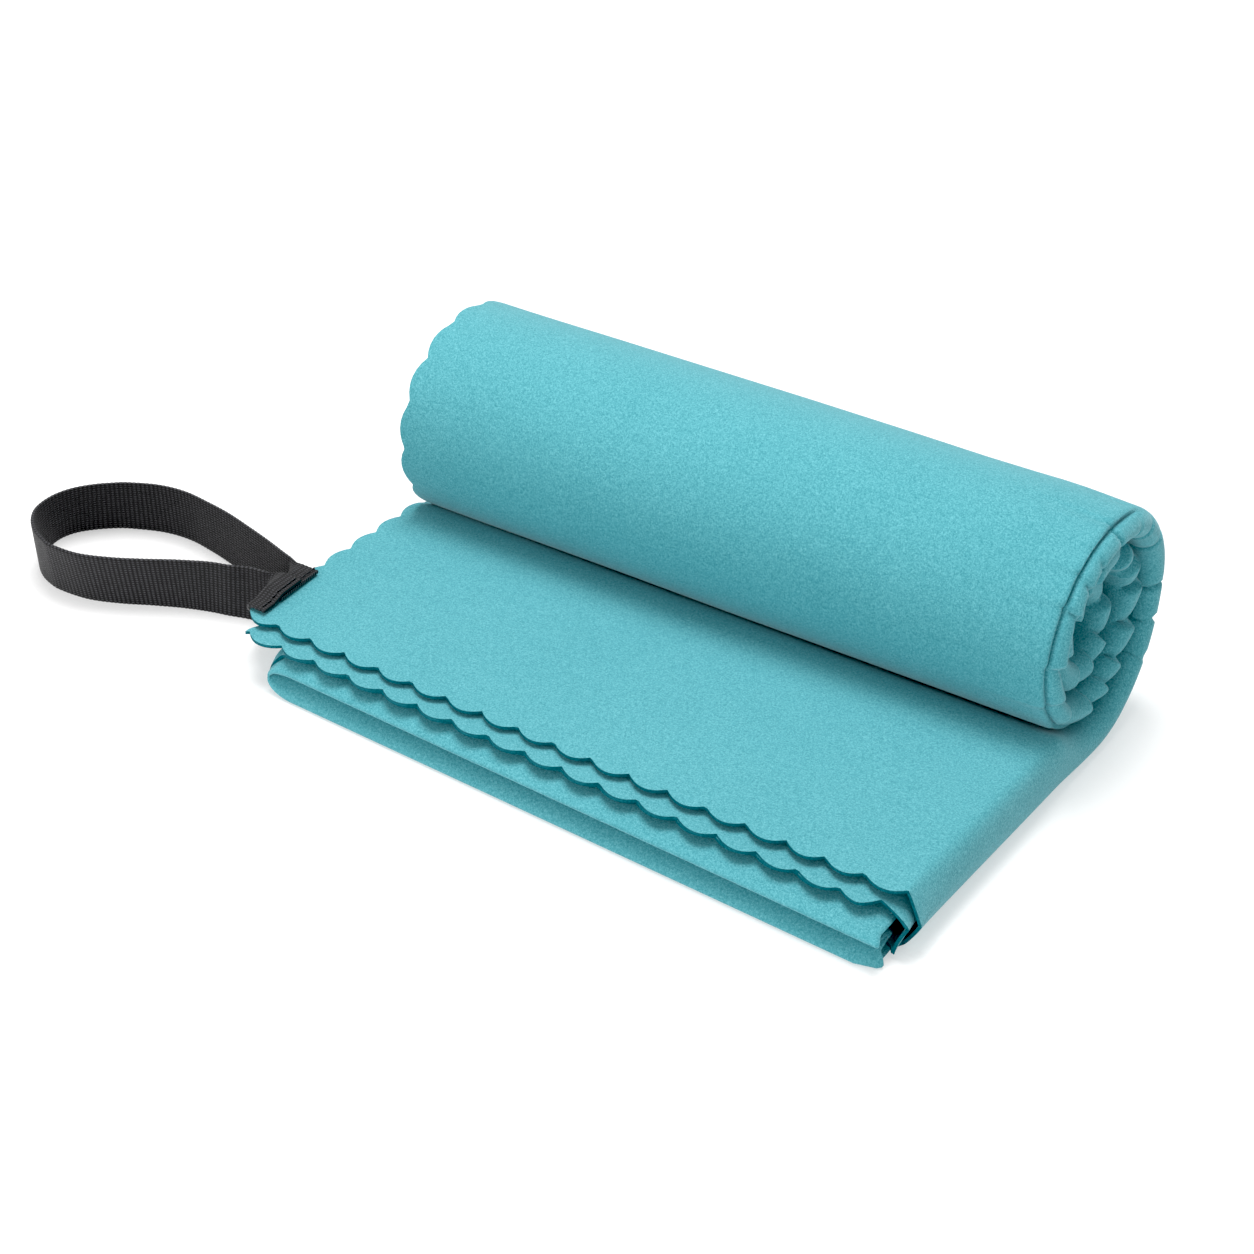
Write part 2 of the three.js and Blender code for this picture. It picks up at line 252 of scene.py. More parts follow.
def cut_suede():
    """The same cloth's hot-cut edge: the fibre ends are packed and slightly fused, so it is smoother
    than the nap, with a fine unevenness along it. It is coloured much darker than the nap: painted
    shade, standing in for the shade along and under the cloth's edges."""
    fibres = 0.7  # size of the unevenness
    material, tree, shader = blank("suede_cut_edge")
    place = node(tree, "ShaderNodeTexCoord").outputs["Object"]
    uneven = node(tree, "ShaderNodeTexNoise", {"Vector": place}, in_Scale=1 / (fibres * MM), in_Detail=2.0)
    # Painted shade: the edge's dark colour stands in for the shade along and under the cloth's edges.
    colour = ramp(tree, uneven.outputs["Fac"], [(0.3, linear("#10525c")), (0.7, linear("#1f6c77"))])
    tree.links.new(colour, shader.inputs["Base Color"])
    shader.inputs["Roughness"].default_value = 0.8
    shader.inputs["Specular IOR Level"].default_value = 0.2
    return material


def ribbed_webbing():
    """Polyester webbing, woven with a thick weft so that it has ribs across it: near black and dull.
    Its colour is painted lighter on each warp yarn where it passes over a rib, which is a painted
    highlight, and darker between them, which is painted shade."""
    warp = 1.2  # spacing of the warp yarns across the webbing
    material, tree, shader = blank("ribbed_webbing")
    lay = node(tree, "ShaderNodeUVMap", uv_map="lay").outputs["UV"]
    ends = node(tree, "ShaderNodeTexWave", {"Vector": lay}, wave_type="BANDS", bands_direction="Y",
                in_Scale=math.pi / (10 * warp * MM), in_Distortion=0.0)
    ribs = node(tree, "ShaderNodeTexWave", {"Vector": lay}, wave_type="BANDS", bands_direction="X",
                in_Scale=math.pi / (10 * RIB * MM), in_Distortion=0.0)
    weave = node(tree, "ShaderNodeMath", {0: ends.outputs["Fac"], 1: ribs.outputs["Fac"]},
                 operation="MULTIPLY")
    fuzz = node(tree, "ShaderNodeTexNoise", {"Vector": lay}, in_Scale=1 / (3.0 * MM), in_Detail=3.0)
    painted_rib_light_and_fuzz = node(tree, "ShaderNodeMath", {0: weave.outputs[0], 1: fuzz.outputs["Fac"]},
                operation="MULTIPLY")
    # Painted highlight on the weave's crests and painted shade between them. The fuzz varies the tone at
    # random.
    colour = ramp(tree, painted_rib_light_and_fuzz.outputs[0], [(0.02, linear("#070708")), (0.36, linear("#39393d"))])
    tree.links.new(colour, shader.inputs["Base Color"])
    bump = node(tree, "ShaderNodeBump", {"Height": weave.outputs[0]}, in_Strength=1.0,
                in_Distance=0.35 * MM)
    tree.links.new(bump.outputs["Normal"], shader.inputs["Normal"])
    shader.inputs["Roughness"].default_value = 0.62
    shader.inputs["Specular IOR Level"].default_value = 0.35
    shader.inputs["Sheen Weight"].default_value = 0.08
    return material


def spun_thread():
    """Spun polyester sewing thread: two plies twisted together, black, with a soft gloss."""
    twist = 0.5  # length of one ply on the surface
    material, tree, shader = blank("spun_thread")
    place = node(tree, "ShaderNodeTexCoord").outputs["Object"]
    plies = node(tree, "ShaderNodeTexWave", {"Vector": place}, wave_type="BANDS", bands_direction="DIAGONAL",
                 in_Scale=1 / (2 * twist * MM), in_Distortion=1.0)
    colour = ramp(tree, plies.outputs["Fac"], [(0.2, linear("#101012")), (0.8, linear("#2c2c31"))])
    tree.links.new(colour, shader.inputs["Base Color"])
    shader.inputs["Roughness"].default_value = 0.5
    return material


# ---- The bundle that the towel is rolled from ------------------------------------------------------
#
# The cloth is followed by a run t from the top leaf's front edge, along the tail, then round the
# roll to its core, and by a lift n from the bundle's middle, towards the roll's axis.

MIDDLE = PITCH / 2
START_RADIUS = AXIS_Z - MIDDLE
SKEW = 7.0  # the roll's right end lies this much further back than its left end
LIE = 0.8  # clear height between the top leaf and the roll that presses it


def turned(t):
    """Angle of the roll at run t, from straight down by way of the back. The spiral's radius falls by
    PITCH a turn, so its length is START_RADIUS * angle - PITCH * angle^2 / 4 pi, solved for angle."""
    c = PITCH / (4 * math.pi)
    left = np.maximum(START_RADIUS**2 - 4 * c * np.maximum(t - TAIL, 0.0), 0.0)
    return (START_RADIUS - np.sqrt(left)) / (2 * c)


def place(t, x, n):
    """The point at run t, at x along the roll, with lift n: straight above the ground in the tail, and
    in the roll at radius START_RADIUS - PITCH * angle / 2 pi - n round the axis."""
    angle = turned(t)
    radius = START_RADIUS - PITCH * angle / (2 * math.pi) - n
    y = np.minimum(t - TAIL, 0.0) + radius * np.sin(angle)
    z = AXIS_Z - radius * np.cos(angle)
    y = y + SKEW * (x / (RIGHT - LEFT)) * smooth((t - TAIL + 90) / 110)
    return np.stack(np.broadcast_arrays(x, y, z), -1)


def pressed_top(t):
    """Height of the top leaf's middle in the tail: level, then under the roll's outer turn, which is
    at AXIS_Z - sqrt(R^2 - y^2); the lower of the two, with a rounded change."""
    y = np.clip(TAIL - t, 0.0, None)
    radius = AXIS_Z - PITCH + PITCH * np.arcsin(np.clip(y / AXIS_Z, 0, 1)) / (2 * math.pi)
    under = AXIS_Z - np.sqrt(np.maximum(radius**2 - y**2, 0.0)) - LIE - THICK / 2
    beside = 99.0  # the roll isn't overhead here, so it presses nothing
    under = np.where(y > 0.96 * radius, beside, under)
    soft = 1.6  # the larger it is, the rounder the change
    return -soft * np.log(np.exp(-TOP_Z / soft) + np.exp(-under / soft))


def squeeze(t):
    """0 in the open tail, 1 where the roll has pressed the leaves flat."""
    end = pressed_top(np.array(TAIL))
    return np.clip((TOP_Z - pressed_top(t)) / (TOP_Z - end), 0, 1) * (t < TAIL) + (t >= TAIL)


# ---- The cloth ---------------------------------------------------------------------------------------
#
# The sheet has two halves, P outside and Q inside, joined by the crosswise fold at the core. Across
# it a runs from 0 to 3: 0 to 1 over the upper panel from its raw left edge, 1 to 2 round the
# lengthwise fold, and 2 to 3 back over the lower panel to the other raw left edge.

CREASE = 0.93  # share of the lower inner panel that the front pleat takes, from the left
PANEL = 291.0  # cloth across one flat panel; the lengthwise fold takes what is left


def cushions(t):
    """Phase of the cushions round the rolled fold, whose whole part counts them: 12 to 20 mm each."""
    return t / 15.5 + 0.30 * np.sin(t / 23.0) + 0.18 * np.sin(t / 8.3 + 1.0)


def uneven_fold(t, narrow):
    """1 on a cushion and 0 in the crease before it, where f runs from 0 to 1 within the cushion: f^0.4
    up to a short fall at its end, or where narrow is 1 only a groove at f = 0."""
    fall, groove = 0.14, 0.09  # the length of the fall, and of each side of the groove, as shares of f
    f = cushions(t) - np.floor(cushions(t))
    return mix(f**0.4 * smooth((1 - f) / fall), smooth(np.minimum(f, 1 - f) / groove), narrow)


def levels(half, t, x):
    """Lifts of the upper and lower panel's middle from the bundle's middle."""
    angle = turned(t)
    shut = squeeze(t)
    settle = np.exp(-angle / 0.4)
    if half == "P":
        top_roll = 4.4 + (pressed_top(np.array(TAIL)) - MIDDLE - 4.4) * settle
        bow = 0.6 * x / RIGHT - 0.8 * (1 - (x / RIGHT) ** 2) * np.exp(-t / 40)
        top = np.where(t < TAIL, pressed_top(t) - MIDDLE + bow * (1 - shut), top_roll)
        bottom = THICK / 2 - MIDDLE
    else:
        top_tail, top_end, top_core = TOP_Z - 3.8, 9.6, 1.4
        low_right, low_left, low_end, low_core = 2.2, 9.5, 4.6, -3.6
        low_tail = mix(low_left, low_right, smooth((x - 60) / 80))
        top = np.where(t < TAIL, mix(top_tail, top_end, shut) - MIDDLE,
                       top_core + (top_end - MIDDLE - top_core) * settle)
        bottom = np.where(t < TAIL, mix(low_tail, low_end, shut) - MIDDLE,
                          low_core + (low_end - MIDDLE - low_core) * settle)
    return top, bottom


def reach(half, t):
    """How far right the lengthwise fold comes, and where the upper and lower panels turn into it. The
    roll's end dips a little towards its middle, and more at its core."""
    angle = turned(t)
    inner, core = np.maximum(angle - 1.7 * math.pi, 0), np.maximum(angle - 4.2 * math.pi, 0)
    far = RIGHT + 2.7 * np.exp(-t / 14) - 2.7 * smooth(angle / 1.6) - 0.7 * inner - 1.6 * core
    fluffed = 1 - squeeze(t)
    if half == "P":
        top = far - mix(8.2, 6.6, fluffed)
        bottom = far - mix(7.2, 6.6, fluffed)
    else:
        nested = 3.2  # the inner half's fold lies this far inside the outer half's
        far = far - nested
        top = far - mix(3.5, 11.5, fluffed)
        bottom = far - mix(3.5, 4.6, fluffed)
    return far, top, bottom


def left_edge(half, upper, t):
    """The raw left edge before its scallops: each panel's own, since they never line up."""
    rolled = smooth((t - TAIL) / 40)
    tail, roll = {("P", True): (-151.6, -148.4), ("P", False): (-146.5, -148.9),
                  ("Q", True): (-146.6, -146.9), ("Q", False): (-143.8, -146.2)}[half, upper]
    corner = 1.6 * (1 - smooth((t + 6) / 15))
    return mix(tail, roll, rolled) + corner


def scallop(u, depth):
    """How far the cut lies inside its outermost line: arcs that bulge outwards and meet in cusps,
    depth * |2 frac(u) - 1|^2."""
    return depth * np.abs(2 * (u - np.floor(u)) - 1) ** 2.0


def front_cut(half, share, v):
    """The front edge's cut at a share of the panel or at v round the fold. The last scallop is a
    little short, so that its cusp falls where the fold begins; round the fold the edge is straight."""
    if half == "P":
        at = mix(LEFT, RIGHT - 3.7, share)
        u = np.interp(at, [RIGHT - 302.9, RIGHT - 52.3, RIGHT - 20.6, RIGHT - 3.7], [-3, 12, 14, 15])
        turn = np.interp(v, [0, 0.5, 1], [4.1, 2.2, 5.0])
        cut = scallop(u, 4.1)
    else:
        at = mix(LEFT + 4.9, RIGHT - 13.2, share)
        u = np.interp(at, [RIGHT - 297.4, RIGHT - 28.9, RIGHT - 13.2], [-1.07, 15, 16])
        turn = np.interp(v, [0, 0.45, 1], [6.3, 4.2, 3.3])
        cut = scallop(u, 3.9) + 2.4 * smooth((at - RIGHT + 23) / 10)
    return np.where(share < 1, cut, turn)


def width_run(a):
    """Millimetres of cloth across the sheet, from the left raw edge of the upper panel."""
    return np.interp(a, [0, 1, 2, 3], [0, PANEL, CLOTH[0] - PANEL, CLOTH[0]])


PLEAT_POINTS = [
    # From the raw edge, just under the second leaf, backwards and down to the ground and back:
    # [behind the top leaf's front edge, height].
    [-7.9, 18.2], [-4, 18.1], [1.8, 17.9], [3.6, 16.7], [2.2, 15.5], [-3, 14.8], [-8.2, 14.0],
    [-11.2, 13.2], [-12.6, 12.5], [-13.1, 11.8], [-12.5, 11.1], [-11.2, 10.6], [-8, 10.3],
    [-4.4, 9.9], [-2.4, 9.2], [-1.9, 8.3], [-3.4, 7.5], [-6.6, 6.7], [-9.4, 5.6], [-11.8, 4.1],
    [-13.3, 2.6], [-13.9, 1.3], [-12.9, 0.72], [-9.5, 0.68], [-5, 0.75], [2, 1.6], [15, 2.8],
    [33, 5.5], [53, 8.0], [80, 9.2], [108, 9.0], [135.5, 5.6],
]
PLEAT = through(PLEAT_POINTS, 1200)[0]
PLEAT_RUN = TAIL  # run of cloth that is taken up in the pleat and behind it
PLEAT_MIDDLE = (-9.5, 6.6)  # middle of the pleat's section, towards which it shrinks at its ends
TUCK = 11.0  # the pleat's right end is pushed in this far
PLEAT_LEFT, PLEAT_RIGHT = LEFT + 20.7, RIGHT - 6.5
P_FRONT = 1.9  # the outer half's scallops stand this far in front of the tail's nominal front
Q_FRONT = 9.0  # and the inner half's this far
CUT_FADE = 7.6  # depth over which the rows behind a front edge straighten


def lay(half, a, s):
    """The folded cloth's middle surface: places for a across the sheet and s from that half's raw
    front edge. The section across is a flat upper panel, a half turn at the right, and a flat lower
    panel; place() carries it along the tail and round the roll."""
    a, s = np.broadcast_arrays(np.asarray(a, float), np.asarray(s, float))
    upper = a <= 1.5
    share = np.where(a < 1, a, np.where(a > 2, 3 - a, 1.0))
    v = np.clip(a - 1, 0, 1)
    t = s - (Q_FRONT * np.exp(-s / 300) if half == "Q" else P_FRONT)
    t = t + front_cut(half, share, v) * np.clip(1 - s / CUT_FADE, 0, 1)
    far, top_turn, low_turn = reach(half, t)
    angle = turned(t)
    rolled = smooth((t - TAIL) / 30)

    # Across the panels.
    turn_at = np.where(upper, top_turn, low_turn)
    start = np.where(upper, left_edge(half, True, t), left_edge(half, False, t))
    x = mix(start, turn_at, share)
    cut = scallop(s / SCALLOP + np.where(upper, 0.1, 0.55) + (0.3 if half == "Q" else 0.0), 2.8)
    x = x + cut * np.clip(1 - (x - start) / 12, 0, 1) * (share < 1)
    top, low = levels(half, t, x)

    # Round the lengthwise fold: a half turn, more pointed at the tail's front, with cushions and
    # creases once it is rolled. The outermost turn has only narrow grooves.
    theta = math.pi * (0.5 - v)
    point = mix(0.0, 0.9, np.exp(-s / 26)) * (1 - rolled)
    nose, nose_lift = (0.5, 0.08) if half == "P" else (0.45, 0.40)
    out = mix(np.cos(theta) ** 0.8, np.interp(v, [0, nose, 1], [0, 1, 0]), point)
    lift = mix(np.sin(theta), np.interp(v, [0, nose, 1], [1, nose_lift, -1]), point)
    in_turn = (a > 1) & (a < 2)
    n = np.where(in_turn, (top + low) / 2 + (top - low) / 2 * lift, np.where(upper, top, low))
    base = mix(top_turn, low_turn, v)
    inner = smooth((angle - 0.95 * math.pi) / (0.5 * math.pi))
    cushion = uneven_fold(t - 3.2 * (v - 0.5) * in_turn * np.sin(t / 31.0 + 0.6), 1 - inner)
    loose = 1.0 - 0.45 * hump(angle, 1.4 * math.pi, 0.30 * math.pi)
    pinch = (1 - cushion) * smooth((angle - 0.1 * math.pi) / (0.3 * math.pi)) * loose
    groove, crease = 0.22, 0.85  # their depths, as shares of the fold's own
    depth = (far - base) * (1 - mix(groove, crease, inner) * pinch)
    x = np.where(in_turn, base + depth * out, x)

    # Creases run from the fold into the panels and fade away.
    inside = np.clip(RIGHT - x, 0, None)
    fade = np.exp(-inside / 13)
    n = n - (n - (top + low) / 2) * 0.6 * pinch * fade
    n = n + 0.5 * waves(t / 26, x / 60, 3) * rolled * np.exp(-inside / 40)
    n = n + 0.35 * waves(t / 60, x / 90, 5) * np.where(t < TAIL, 0.5 * (1 - squeeze(t)), 1.0)

    # The outer turn is drawn in a little at its right end. There the outside steps down in a tight
    # crease, on the side that faces the front, and the fold stands out of it as a fat band.
    outer = smooth((angle - 0.80 * math.pi) / 0.5) * smooth((2.15 * math.pi - angle) / 0.4)
    n = n + 2.2 * smooth((x - RIGHT + 40) / 40) * hump(angle, math.pi, 0.9)
    if half == "P":
        step = smooth((0.90 - v) / 0.05) * smooth((v - 0.30) / 0.45)
        n = n + (1.7 * step + 1.0 * hump(v, 0.87, 0.03)) * in_turn * outer
        x = x - 2.2 * hump(v, 0.87, 0.035) * in_turn * outer
    points = place(t, x, n)
    if half == "Q":
        points = pleated(points, a, s)
    else:
        # The lower outer panel's left corner is drawn back, under the pleat's rounded end.
        back = 42 * smooth((-108 - x) / 30) * (a > 2) * np.clip(1 - s / 90, 0, 1)
        points[..., 1] += back
    return points


def pleated(points, a, s):
    """The lower inner panel turned back on itself at the front: its first run of PLEAT_RUN is laid along
    the pleat's section. At the left the section shrinks to its middle, so that the pleat closes in a
    rounded end. At the right its end is pushed in like a bag's gusset: the section shrinks while it
    runs back to the left, and then comes out again, behind, into the lengthwise fold."""
    share = np.where(a > 2, 3 - a, 1.0)
    lower = (a > 2) & (s < PLEAT_RUN)
    y, z = along(PLEAT, s / PLEAT_RUN)
    front = smooth((10 - y) / 20)
    full = np.clip(share / CREASE, 0, 1)
    open_end = PLEAT_RIGHT + 5 * np.clip((-9.5 - y) / 9, 0, 1)
    x = mix(PLEAT_LEFT, open_end, full)

    # Its raw edge steps back at the right, and below that edge it comes forward towards the right,
    # its lip most of all. Its foot turns back at the very end.
    edge_height = 15.2
    above = smooth((z - edge_height) / 2)
    lean = 0.2 + 4.4 * smooth((edge_height - z) / 2) + 1.1 * hump(z, 11.8, 1.8)
    step = 2.8 * smooth((x - RIGHT + 36) / 14) + 4.0 * smooth((x - RIGHT + 24) / 12)
    y = y + step * above * front
    z = z - np.clip(z - 12.6, 0, None) * 0.7 * smooth((x - RIGHT + 16) / 12)
    y = y - lean * (x - 13) / 265 * front
    y = y + 7.0 * smooth((x - RIGHT + 9) / 9) * smooth((8.0 - z) / 3) * front

    cy, cz = PLEAT_MIDDLE
    close = np.clip((PLEAT_LEFT + 13 - x) / 13, 0, 1)
    keep = mix(1.0, np.sqrt(np.clip(1 - close**2, 0.0, 1)) * 0.96 + 0.04, front)
    y, z = cy + (y - cy) * keep, cz + (z - cz) * keep
    edge = scallop((x - LEFT) / SCALLOP + 0.55, 3.2)
    y = y + edge * np.clip(1 - s / 6, 0, 1)
    pleat = np.stack([x, FRONT + y, z], -1)
    q = np.clip((share - CREASE) / (1 - CREASE), 0, 1)
    sunk = smooth(q / 0.35)
    shrink = mix(1.0, 0.35, sunk)
    gusset = np.stack([x - TUCK * sunk, FRONT + cy + (y - cy) * shrink, cz + (z - cz) * shrink], -1)
    back_y, back_z = mix(6.0, 110.0, s / PLEAT_RUN), mix(8.5, 5.0, s / PLEAT_RUN)
    tuck = np.stack([x - TUCK, FRONT + back_y, back_z], -1)
    moved = mix(gusset, tuck, smooth((q - 0.35) / 0.3)[..., None])
    moved = mix(moved, points, smooth((q - 0.65) / 0.35)[..., None])
    moved = np.where((share < CREASE)[..., None], pleat, moved)
    moved = mix(points, moved, smooth((PLEAT_RUN - s) / 30)[..., None])
    return np.where(lower[..., None], moved, points)


def pleat_rows():
    """Runs of the rows over the pleat: steps of 2.4 mm of its section, or of 12 degrees of its turns."""
    step = np.diff(PLEAT, axis=0)
    heading = np.unwrap(np.arctan2(step[:, 1], step[:, 0]))
    effort = np.concatenate([[0], np.cumsum(np.hypot(*step.T) / 2.4)])
    effort[2:] += np.cumsum(np.abs(np.diff(heading))) / math.radians(12)
    runs = np.linspace(0, PLEAT_RUN, len(PLEAT))
    return np.interp(np.arange(0, effort[-1]), effort, runs)


def roll_rows(low, high):
    """Runs of the rows from low to high: 2.6 mm apart, and 0.6 mm apart next to the creases."""
    t = np.linspace(low, high, 6000)
    near = hump(cushions(t) - np.round(cushions(t)), -0.02, 0.085)
    effort = np.concatenate([[0], np.cumsum(np.diff(t) * mix(1 / 2.6, 1 / 0.6, near[1:]))])
    return np.interp(np.arange(0, effort[-1]), effort, t)


def across_stops(fine, pleat=False):
    """Places across the sheet: a few over the flat middle, more near the edges and the pleat's ends,
    many round the lengthwise fold, and if fine also one every tenth of a scallop."""
    panel = [0, 1.4, 3, 5, 8, 12, 17, 30, 60, 100, 150, 195, 230, 250, 262, 271, 278, 283, 287, 289.5]
    upper = np.array(panel) / PANEL
    turn = 1 + np.linspace(0, 1, 23)
    gusset = PANEL * mix(CREASE, 1.0, np.linspace(-0.06, 1, 22))
    round_end = np.array([0.5, 2.2, 4.0, 6.5, 10, 14.5, 20])
    lower = np.unique(np.concatenate([panel] + [gusset, round_end] * pleat)) / PANEL
    stops = np.concatenate([upper, turn, 3 - lower])
    if fine:
        run = np.arange(0, CLOTH[0], SCALLOP / 10)
        turns = np.array([0, 1, 2, 3])
        stops = np.concatenate([stops, np.interp(run, width_run(turns), turns)])
    return np.unique(np.round(stops, 5))


def front_rows():
    """Runs of the rows next to a raw front edge, which have the fine stops."""
    return np.array([0.0, 0.9, 2.0, 3.6, 5.6, 7.7])


def towel_mesh(materials):
    """The whole sheet as one mesh: rows from P's raw edge to the core, round the crosswise fold, and
    back to Q's raw edge. The middle surface is moved half the cloth's thickness each way along its
    normals, and the two faces are joined round the raw edge."""
    coarse, fine, gusset = across_stops(False), across_stops(True, True), across_stops(False, True)
    p_step, q_step = SCALLOP / 7, SCALLOP / 5
    p_rows = np.concatenate([np.arange(10.1, TAIL + 12, p_step), roll_rows(TAIL + 14, HALF_LENGTH - 0.5)])
    pleat = pleat_rows()
    pleat = pleat[(pleat > 8.4) & (pleat < PLEAT_RUN - 1)]
    q_rows = np.arange(PLEAT_RUN + 1, HALF_LENGTH, q_step)
    bands = [(fine, lay("P", fine[None], front_rows()[:, None])),
             (coarse, lay("P", coarse[None], p_rows[:, None]))]
    end_p = lay("P", coarse, np.full_like(coarse, HALF_LENGTH))
    end_q = lay("Q", coarse, np.full_like(coarse, HALF_LENGTH + Q_FRONT * 0.1))
    ahead = end_p - lay("P", coarse, np.full_like(coarse, HALF_LENGTH - 2))
    ahead = ahead / np.linalg.norm(ahead, axis=-1, keepdims=True)
    turn = np.linspace(0, math.pi, 9)[:, None, None]
    radius = np.linalg.norm(end_p - end_q, axis=-1, keepdims=True) / 2
    fold = (end_p + end_q) / 2 + (end_p - end_q) / 2 * np.cos(turn) + ahead * radius * np.sin(turn)
    bands += [(coarse, fold), (coarse, lay("Q", coarse[None], q_rows[::-1, None])),
              (gusset, lay("Q", gusset[None], pleat[::-1, None])),
              (fine, lay("Q", fine[None], front_rows()[::-1, None]))]

    points, faces, start, last = [], [], 0, None
    for stops, rows in bands:
        count, columns = rows.shape[:2]
        points.append(rows.reshape(-1, 3))
        if last is not None:
            faces += joining_faces(last, (stops, start))
        faces += grid_faces(count, columns, start)
        last = (stops, start + (count - 1) * columns)
        start += count * columns
    points = np.concatenate(points)

    bare = bpy.data.meshes.new("bare")
    bare.from_pydata(points.tolist(), [], faces)
    normals = np.zeros(len(points) * 3, np.float32)
    bare.vertices.foreach_get("normal", normals)
    normals = normals.reshape(-1, 3)
    bpy.data.meshes.remove(bare)
    return thickened("towel_cloth", points, normals, faces, materials)


def joining_faces(before, after):
    """Faces between two rows of different fineness: one for each step of the coarser row, with all the
    finer row's vertices on its other side. Each row is (stops, index of its first vertex)."""
    (stops_a, first_a), (stops_b, first_b) = before, after
    common = stops_a if len(stops_a) <= len(stops_b) else stops_b
    ia, ib = np.searchsorted(stops_a, common), np.searchsorted(stops_b, common)
    faces = []
    for k in range(len(common) - 1):
        one = [first_a + i for i in range(ia[k], ia[k + 1] + 1)]
        other = [first_b + i for i in range(ib[k], ib[k + 1] + 1)]
        faces.append(one + other[::-1])
    return faces


def thickened(name, points, normals, faces, materials):
    """A sheet with its two faces and its cut edge: material 0 on the faces and 1 on the edge."""
    size = len(points)
    both = np.concatenate([points + normals * THICK / 2, points - normals * THICK / 2])
    other = [[i + size for i in reversed(f)] for f in faces]
    starts = np.concatenate([np.array(f) for f in faces])
    ends = np.concatenate([np.roll(f, -1) for f in faces])
    key, back = starts * size + ends, ends * size + starts
    alone = ~np.isin(key, back)
    rim = np.stack([ends[alone], starts[alone], starts[alone] + size, ends[alone] + size], -1).tolist()
    kinds = np.concatenate([np.zeros(2 * len(faces)), np.ones(len(rim))])
    return new_mesh(name, both, faces + other + rim, materials, kinds, sharp=math.radians(62))


# ---- The hang loop -----------------------------------------------------------------------------------

NEAR_LOW, NEAR_HIGH = corners("hang_loop_near_end")
FAR_LOW, FAR_HIGH = corners("hang_loop_far_end")
TAPE_WIDTH = NEAR_HIGH[1] - NEAR_LOW[1]
TAPE_THICK = FAR_HIGH[2] - FAR_LOW[2]
CREASE_X = NEAR_LOW[0]  # where the webbing bends down
CUT_X = NEAR_HIGH[0]
NEAR_Y = (NEAR_LOW[1] + NEAR_HIGH[1]) / 2
NEAR_Z = NEAR_HIGH[2] - TAPE_THICK / 2
FAR_Z = FAR_LOW[2] + TAPE_THICK / 2
SLANT = 0.08  # the seam isn't quite square to the webbing
TURN_IN = 11.0  # length over which the webbing twists from flat to standing on its edge

LOOP_ROUTE = [
    # The free webbing from the near end to the far end. Its upper edge: [left of the bend, behind the
    # top leaf's front edge], and how far its lower edge lies further [left, behind].
    [0, 28, 0, 0], [6, 26.6, 0, 0], [13, 25.7, 0, 0], [19, 24.3, 1, 0], [26, 20.7, 2, 0.8],
    [34, 17.6, 2, 1.5], [45.5, 10.8, 1.5, 3.8], [56.5, 3.2, 2, 5.3], [68, -3.9, 2, 5.7], [81, -9.5, 1.5, 6],
    [94.6, -10.7, 1.5, 5.5], [101, -8.9, 2.5, 4.7], [108, -5.9, 2.5, 4.4], [114.7, -0.9, 2.5, 4.2],
    [119.7, 5.6, 2.8, 3.9], [121.9, 12.5, 3.4, 4.2], [122.1, 20.3, 4.2, 4], [120, 27.9, 4.5, 3.6],
    [115.6, 35.1, 4.4, 3], [110, 41.2, 3.5, 3.4], [104.7, 45.6, 2.8, 3], [93.3, 51.7, 1.2, 2.8],
    [80.6, 54.3, 0.4, 2.2], [66.6, 53.4, 0, 1.4], [54.1, 51.8, 0, 0.4], [40.4, 48.7, 0, 0],
    [26.5, 45.2, 0, 0], [14.5, 41.7, 0, 0], [5, 39.4, 0, 0], [0, 39, 0, 0],
]


def tape_edges(stations):
    """The webbing's upper and lower edge at evenly spaced stations from the near end's cut edge round
    the loop to the far end's, the share that it has turned up on its edge, and its length."""
    sewn = CUT_X - CREASE_X
    first, last = LOOP_ROUTE[0], LOOP_ROUTE[-1]
    whole = [[-sewn, first[1], 0, 0], [-sewn / 2, first[1], 0, 0]] + LOOP_ROUTE + [
        [-sewn / 2, last[1], 0, 0], [-sewn, last[1], 0, 0]]
    route, length = through(whole, 1500)
    left, behind, out, back = along(route, np.linspace(0, 1, stations))
    run = np.linspace(0, length, stations)
    up = smooth((np.minimum(run, length - run) - sewn) / TURN_IN)
    lean = up * math.pi / 2
    clear = 0.2  # height of the standing webbing's lower edge over the ground
    z = mix(np.where(run < length / 2, NEAR_Z, FAR_Z), TAPE_WIDTH + clear, up)
    upper = np.column_stack([CREASE_X - left, FRONT + behind, z])
    span = TAPE_WIDTH * (1 - 0.28 * np.sin(2 * lean))  # it buckles a little while it twists
    lower = upper + np.column_stack([-out * up, back * up - span * np.cos(lean), -span * np.sin(lean)])
    return upper, lower, up, length


